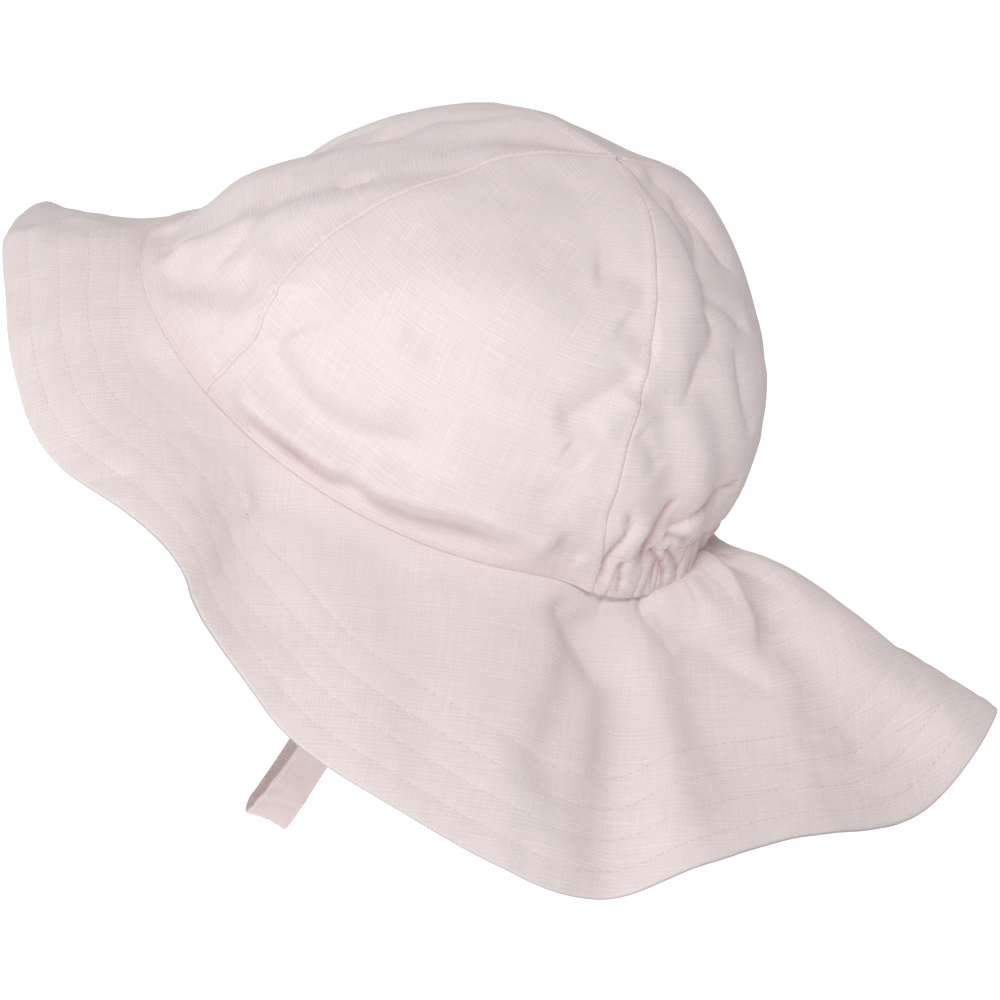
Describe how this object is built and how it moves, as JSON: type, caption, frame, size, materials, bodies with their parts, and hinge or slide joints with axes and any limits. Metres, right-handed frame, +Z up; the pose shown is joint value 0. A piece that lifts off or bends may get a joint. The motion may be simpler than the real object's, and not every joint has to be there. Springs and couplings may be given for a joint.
{
  "type": "baby sun hat with a neck flap",
  "caption": "Soft linen baby sun hat: a panelled crown, a stitched brim that widens into a neck flap, a gathered elastic nape and a chin strap loop.",
  "frame": {"origin": "the middle of the head opening, where the hat sits on a head", "axes": "-Y is the front, +X the wearer's left and +Z up through the crown; -Z points down out of the opening"},
  "size_m": [0.2336, 0.2865, 0.2126],
  "materials": {
    "linen": "pale pink plain-weave linen, matt, with fine slubs",
    "double_linen": "the same linen folded double, a little pinker"
  },
  "bodies": {
    "root": {"crown_front": "linen", "crown_left": "linen", "crown_right": "linen", "crown_back": "linen", "brim": "linen", "nape_casing": "double_linen", "chin_strap": "double_linen"}
  },
  "joints": []
}
